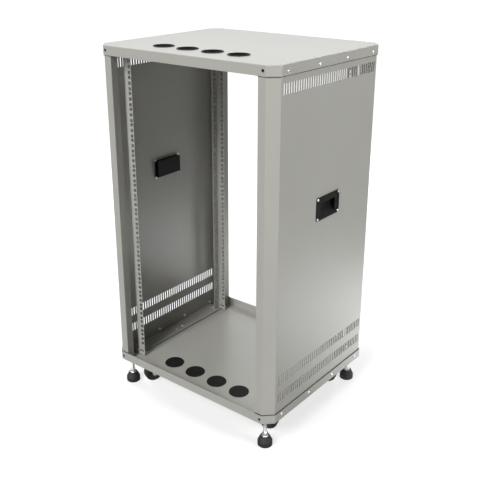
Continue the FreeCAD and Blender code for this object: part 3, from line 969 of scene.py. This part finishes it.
@dataclass
class HandleFasteners:
    """Corner screws of the recessed handles, with their nuts inside the panels."""

    margin: float = 5.0 * MM
    panel_sheet: float = 1.5 * MM
    screw_turns: tuple[float, float] = (7.0, 9.0)
    nut_turns: float = 5.0
    screw: CrossHeadScrew = field(
        default_factory=lambda: CrossHeadScrew(head=7.5 * MM, height=1.6 * MM)
    )
    nut: HexNut = field(default_factory=lambda: HexNut(7.0 * MM, 3.2 * MM, 4.0 * MM, 0.5 * MM))
    thread: ThreadedRod = field(
        default_factory=lambda: ThreadedRod(3.9 * MM, 0.7 * MM, 5.5 * MM, steps=12)
    )

    def build(self, shop: Workshop) -> None:
        """Make the screws and nuts of both handles, each turned by its place.

        Args:
            shop: makes the pieces.
        """
        along, up = self.screw_turns
        for side, sign in SIDES.items():
            plate = NodeBox.of(f"{side}_handle")
            wall = NodeBox.of(f"{side}_side_panel").outer(sign) - sign * self.panel_sheet
            screws = []
            nuts = []
            for y in (plate.low.y + self.margin, plate.high.y - self.margin):
                for z in (plate.low.z + self.margin, plate.high.z - self.margin):
                    outward = turn_to(Facing.outward(side), along * y + up * z)
                    outside = Matrix.Translation((plate.outer(sign), y, z)) @ outward
                    inward = turn_to(Facing.inward(side), self.nut_turns * y)
                    inside = Matrix.Translation((wall, y, z)) @ inward
                    screws.append((self.screw.mesh(), outside))
                    nuts.append((self.nut.mesh(), inside))
                    nuts.append((self.thread.mesh(), inside))
            shop.add(f"handle_screws_{side}", joined(screws), "zinc")
            shop.add(f"handle_nuts_{side}", joined(nuts), "zinc")


@dataclass
class ScrewFeet:
    """Threaded studs, base nuts, collars and jam nuts of the four screw feet."""

    stud_diameter: float = 10.0 * MM
    stud_pitch: float = 1.5 * MM
    recess_depth: float = 5.0 * MM
    collar_radius: float = 9.6 * MM
    collar_bore: float = 5.2 * MM
    collar_proud: float = 0.8 * MM
    collar_edge: float = 0.5 * MM
    collar_steps: int = 32
    base_nut: HexNut = field(default_factory=lambda: HexNut(16.0 * MM, 8.0 * MM, 10.16 * MM))
    jam_nut: HexNut = field(default_factory=lambda: HexNut(16.0 * MM, 8.0 * MM, 10.02 * MM))

    def build(self, shop: Workshop) -> None:
        """Make the metal parts of the feet.

        Args:
            shop: makes the pieces.
        """
        nuts = []
        nut_level = NodeBox.of("base_tray").low.z - self.base_nut.thickness
        for side in SIDES:
            for end in ENDS:
                foot = f"{end}_{side}_foot"
                stud = NodeBox.of(f"{foot}_stud")
                x, y = stud.middle.xy
                rod = ThreadedRod(self.stud_diameter, self.stud_pitch, stud.high.z - stud.low.z)
                thread = joined([(rod.mesh(), Matrix.Translation((x, y, stud.low.z)))])
                shop.add(f"foot_thread_{end}_{side}", thread, "zinc", foot, [f"{foot}_stud"])
                pad_top = NodeBox.of(f"{foot}_pad").high.z
                collar_place = Matrix.Translation((x, y, pad_top - self.recess_depth))
                jam_place = Matrix.Translation((x, y, pad_top + self.collar_proud))
                jam = joined([(self.collar(), collar_place), (self.jam_nut.mesh(), jam_place)])
                shop.add(f"foot_nut_{end}_{side}", jam, "zinc", foot)
                nuts.append((self.base_nut.mesh(), Matrix.Translation((x, y, nut_level))))
        shop.add("base_stud_nuts", joined(nuts), "zinc", FRAME_BODY, ["stud_nuts"])

    def collar(self) -> Mesh:
        """Turn the collar that fills the pad's recess and stands a little proud.

        Returns:
            The collar, from z 0.
        """
        height = self.recess_depth + self.collar_proud
        return lathe(
            [
                (self.collar_bore, 0.0),
                (self.collar_radius, 0.0),
                (self.collar_radius, height - self.collar_edge),
                (self.collar_radius - self.collar_edge, height),
                (self.collar_bore, height),
                (self.collar_bore, 0.0),
            ],
            self.collar_steps,
        )


@dataclass
class CastorFasteners:
    """Plate nuts and axle bolts of the four castors."""

    plate_thickness: float = 2.5 * MM
    bolt_offset: float = 23.5 * MM
    plate_turns: tuple[float, float] = (0.4, 1.0)
    axle_diameter: float = 8.0 * MM
    axle_steps: int = 32
    axle_nut_turn: float = 0.3
    leg_outside: float = 17.5 * MM
    thread_radius: float = 2.9 * MM
    thread_reach: float = 3.8 * MM
    thread_chamfer: float = 0.5 * MM
    axle_head: HexBolt = field(
        default_factory=lambda: HexBolt(11.0 * MM, 3.0 * MM, 13.0 * MM, 1.0 * MM)
    )
    axle_nut: HexNut = field(
        default_factory=lambda: HexNut(12.0 * MM, 4.0 * MM, 6.0 * MM, 0.6 * MM)
    )
    plate_nut: HexNut = field(
        default_factory=lambda: HexNut(10.0 * MM, 4.6 * MM, 6.0 * MM, 0.6 * MM)
    )
    plate_thread: ThreadedRod = field(
        default_factory=lambda: ThreadedRod(5.9 * MM, 1.0 * MM, 6.0 * MM, steps=12)
    )

    def build(self, shop: Workshop) -> None:
        """Make the nuts under the plates and the axle bolts.

        Args:
            shop: makes the pieces.
        """
        for side in SIDES:
            for end in ENDS:
                corner = f"{end}_{side}"
                plate = NodeBox.of(f"{corner}_castor_plate")
                shop.add(f"castor_nuts_{corner}", self.plate_nuts(plate), "zinc")
                node = f"{corner}_castor_axle"
                axle = NodeBox.of(node).middle
                trail = axle - plate.middle
                turn = Matrix.Rotation(math.atan2(trail.y, trail.x), 4, "Z")
                bolt = self.axle_bolt(Matrix.Translation(axle) @ turn)
                shop.add(f"axle_bolt_{corner}", bolt, "zinc", f"{corner}_swivel", [node])

    def axle_bolt(self, place: Matrix) -> Mesh:
        """Axle along the castor's own Y axis, with a hexagon head and, at its other end, a nut.

        Args:
            place: middle of the axle and turn of the castor.

        Returns:
            The bolt, in place.
        """
        radius = self.axle_diameter / 2
        reach = self.leg_outside
        rod = [(0.0, -reach), (radius, -reach), (radius, reach), (0.0, reach)]
        thread_end = lathe(
            [
                (0.0, 0.0),
                (self.thread_radius, 0.0),
                (self.thread_radius, self.thread_reach - self.thread_chamfer),
                (self.thread_radius - self.thread_chamfer, self.thread_reach),
                (0.0, self.thread_reach),
            ]
        )
        head_end = Matrix.Translation((0, -reach, 0)) @ turn_to(Facing.FRONT)
        nut_end = Matrix.Translation((0, reach, 0)) @ turn_to(Facing.REAR, self.axle_nut_turn)
        return joined(
            [
                (lathe(rod, self.axle_steps), place @ turn_to(Facing.REAR)),
                (self.axle_head.mesh(), place @ head_end),
                (self.axle_nut.mesh(), place @ nut_end),
                (thread_end, place @ nut_end),
            ]
        )

    def plate_nuts(self, plate: NodeBox) -> Mesh:
        """Nuts that hold one plate under the base, with the ends of their bolts.

        Args:
            plate: box of the castor plate.

        Returns:
            The four nuts, in place.
        """
        nuts = []
        underside = plate.high.z - self.plate_thickness
        turn_across, turn_along = self.plate_turns
        for across in (-1, 1):
            for along in (-1, 1):
                x = plate.middle.x + across * self.bolt_offset
                y = plate.middle.y + along * self.bolt_offset
                turn = turn_to(Facing.DOWN, turn_across * across + turn_along * along)
                place = Matrix.Translation((x, y, underside)) @ turn
                nuts.append((self.plate_nut.mesh(), place))
                nuts.append((self.plate_thread.mesh(), place))
        return joined(nuts)


# Studio


@dataclass(frozen=True)
class SoftBox:
    """Rectangular studio light aimed at a point, which may be kept out of reflections."""

    name: str
    place: Point
    aim: Point
    width: float
    height: float
    power: float
    colour: Colour = (1.0, 1.0, 1.0)
    mirrored: bool = True

    def hang(self) -> None:
        """Put the light into the scene."""
        data = bpy.data.lights.new(self.name, "AREA")
        data.shape = "RECTANGLE"
        data.size = self.width
        data.size_y = self.height
        data.energy = self.power
        data.color = self.colour
        lamp = bpy.data.objects.new(self.name, data)
        lamp.visible_camera = False
        lamp.visible_glossy = self.mirrored
        lamp.location = self.place
        lamp.rotation_mode = "QUATERNION"
        back = Vector(self.place) - Vector(self.aim)
        lamp.rotation_quaternion = back.to_track_quat("Z", "Y")
        bpy.context.scene.collection.objects.link(lamp)


@dataclass
class Studio:
    """Pale floor and surround, a broad key light, soft boxes and the camera."""

    floor_reach: float = 60.0
    floor_colour: Colour = (0.35, 0.35, 0.35)
    floor_roughness: float = 0.9
    floor_specular: float = 0.1
    floor_glow_near: tuple[float, float] = (0.6, 0.62)
    floor_glow_far: tuple[float, float] = (2.6, 0.90)
    floor_bounce_near: tuple[float, float] = (0.2, 2.6)
    floor_bounce_far: tuple[float, float] = (0.7, 0.0)
    floor_bounce_middle: Point = (0.35, 0.75, 0.0)
    surround_seen: float = 1.0
    surround_mirrored: float = 0.8
    key_strength: float = 2.15
    key_spread: float = math.radians(18.0)
    key_from: Point = (0.14, -1.0, 0.85)
    boxes: tuple[SoftBox, ...] = (
        SoftBox(
            "top_box",
            (0.05, -0.05, 2.5),
            (0.0, 0.0, 1.05),
            0.8,
            0.7,
            25.0,
            colour=(0.91, 0.925, 1.0),
            mirrored=False,
        ),
        SoftBox("front_box", (-0.15, -2.6, 1.8), (0.0, -0.2, 0.7), 0.6, 1.2, 37.0),
        SoftBox("side_box", (2.5, 0.05, 1.9), (0.3, 0.05, 0.8), 0.4, 1.6, 55.0),
        SoftBox("left_box", (-2.5, 0.05, 1.5), (-0.3, 0.05, 0.6), 1.0, 1.4, 44.0),
        SoftBox("rear_box", (-0.45, 0.95, 0.70), (0.05, 0.1, 0.09), 0.6, 0.5, 1.6),
        SoftBox("rear_fill", (-0.9, 2.6, 1.0), (0.0, 0.25, 0.6), 0.6, 1.0, 14.0, mirrored=False),
    )
    camera_place: Point = (1.2911, -1.6180, 1.3263)
    camera_azimuth: float = math.radians(38.6106)
    camera_elevation: float = math.radians(20.4415)
    camera_sight: float = 200.0
    focal_pixels: float = 748.74
    image_pixels: float = 480.0
    sensor: float = 36.0
    shift_up: float = -0.05

    def build(self) -> None:
        """Make floor, lights, surround and camera."""
        self.floor()
        self.lights()
        self.surround()
        self.camera()

    def floor(self) -> None:
        """Lay the pale floor, with one glow for the eye and a lit patch behind the rack."""
        bm = bmesh.new()
        bmesh.ops.create_grid(bm, x_segments=1, y_segments=1, size=self.floor_reach)
        mesh = bpy.data.meshes.new("floor")
        bm.to_mesh(mesh)
        bm.free()
        tree = ShaderTree("pale_floor")
        tree.shader.inputs["Base Color"].default_value = (*self.floor_colour, 1.0)
        tree.shader.inputs["Roughness"].default_value = self.floor_roughness
        tree.shader.inputs["Specular IOR Level"].default_value = self.floor_specular
        tree.shader.inputs["Emission Color"].default_value = (1.0, 1.0, 1.0, 1.0)
        glow = self.pick_by_ray(tree.material.node_tree)
        seen = tree.spread(self.floor_glow_near, self.floor_glow_far)
        given = tree.spread(
            self.floor_bounce_near, self.floor_bounce_far, self.floor_bounce_middle
        )
        tree.links.new(given, glow.inputs["A"])
        tree.links.new(seen, glow.inputs["B"])
        tree.feed("Emission Strength", glow.outputs["Result"])
        mesh.materials.append(tree.material)
        floor = bpy.data.objects.new("floor", mesh)
        bpy.context.scene.collection.objects.link(floor)

    def lights(self) -> None:
        """Hang the broad key light and the soft boxes."""
        key = bpy.data.lights.new("overhead", "SUN")
        key.energy = self.key_strength
        key.angle = self.key_spread
        lamp = bpy.data.objects.new("overhead", key)
        lamp.rotation_mode = "QUATERNION"
        lamp.rotation_quaternion = Vector(self.key_from).to_track_quat("Z", "Y")
        bpy.context.scene.collection.objects.link(lamp)
        for box in self.boxes:
            box.hang()

    def surround(self) -> None:
        """Set a surround that is white to the eye, pale in reflections and lights nothing."""
        world = bpy.data.worlds.new("surround")
        bpy.context.scene.world = world
        world.use_nodes = True
        background = world.node_tree.nodes["Background"]
        background.inputs["Color"].default_value = (1.0, 1.0, 1.0, 1.0)
        glow = self.pick_by_ray(world.node_tree)
        glow.inputs["A"].default_value = self.surround_mirrored
        glow.inputs["B"].default_value = self.surround_seen
        world.node_tree.links.new(glow.outputs["Result"], background.inputs["Strength"])
        world.cycles_visibility.diffuse = False
        bpy.context.scene.view_settings.view_transform = "Standard"

    def pick_by_ray(self, tree: bpy.types.NodeTree) -> bpy.types.Node:
        """Node that picks the strength of a stage glow by who sees it.

        Args:
            tree: node tree to work in.

        Returns:
            A mix of A, what the rack gets, and B, what the eye gets.
        """
        pick = tree.nodes.new("ShaderNodeMix")
        eye = tree.nodes.new("ShaderNodeLightPath").outputs["Is Camera Ray"]
        tree.links.new(eye, pick.inputs["Factor"])
        return pick

    def camera(self) -> None:
        """Set the camera where the photograph was taken from."""
        data = bpy.data.cameras.new("camera")
        data.sensor_width = self.sensor
        data.lens = self.focal_pixels / self.image_pixels * self.sensor
        data.shift_y = self.shift_up
        data.clip_end = self.camera_sight
        camera = bpy.data.objects.new("camera", data)
        level = math.cos(self.camera_elevation)
        back = Vector(
            (
                math.sin(self.camera_azimuth) * level,
                -math.cos(self.camera_azimuth) * level,
                math.sin(self.camera_elevation),
            )
        )
        camera.location = self.camera_place
        camera.rotation_mode = "QUATERNION"
        camera.rotation_quaternion = (-back).to_track_quat("-Z", "Y")
        bpy.context.scene.collection.objects.link(camera)
        bpy.context.scene.camera = camera


def main() -> None:
    """Build every sub-assembly in order."""
    logging.basicConfig(level=logging.INFO, format="%(name)s %(message)s")
    finishes = Finishes()
    finishes.dress_nodes()
    shop = Workshop(finishes)
    for assembly in (
        PanelFasteners(),
        SeamShadeStrips(),
        DoorBushings(),
        RailFasteners(),
        HandleFasteners(),
        ScrewFeet(),
        CastorFasteners(),
    ):
        assembly.build(shop)
    Studio().build()
    log.info("%d pieces added", shop.count)


if __name__ == "__main__":
    main()
